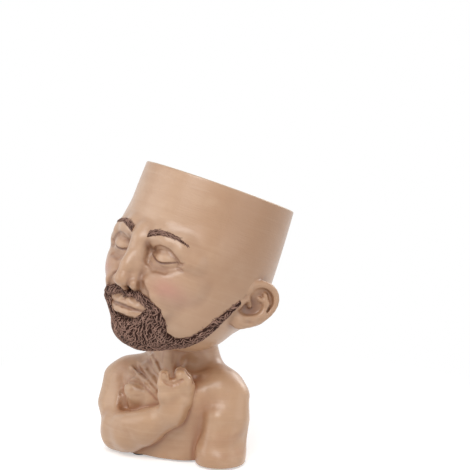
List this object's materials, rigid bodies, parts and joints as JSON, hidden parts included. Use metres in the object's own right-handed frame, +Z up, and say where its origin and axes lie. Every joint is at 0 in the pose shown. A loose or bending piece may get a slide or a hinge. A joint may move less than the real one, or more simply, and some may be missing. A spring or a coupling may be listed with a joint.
{
  "type": "figurine vase",
  "caption": "Planter vase shaped as a bearded figure: an open hollow head that leans back on a small bust with a raised hand; the drain in its floor has a plug.",
  "frame": {"origin": "on the table, under the middle of the part's box", "axes": "+Z up, -Y the front of the bust, +X towards the figure's own left"},
  "size_m": [0.1924, 0.2064, 0.302],
  "materials": {
    "skin": "satin paint on cast polyresin, darker wash in the creases",
    "hair": "matt paint, dry-brushed lighter on the strands",
    "tube_grey": "matt moulded",
    "plate_grey": "matt moulded",
    "rubber_black": "smooth",
    "pad_black": "matt"
  },
  "bodies": {
    "vase": {"bust_shell": "skin", "right_forearm": "skin", "head_bowl": "skin", "left_ear": "skin", "right_ear": "skin", "beard": "hair", "moustache": "hair", "left_eyebrow": "hair", "right_eyebrow": "hair", "drain_tube": "tube_grey", "base_plate": "plate_grey", "foot_pads": "pad_black"},
    "plug": {"drain_plug": "rubber_black"}
  },
  "joints": [
    {"name": "plug_lift", "type": "slide", "parent": "vase", "child": "plug", "axis": [0, 0, 1], "range_m": [0, 0.045]}
  ]
}
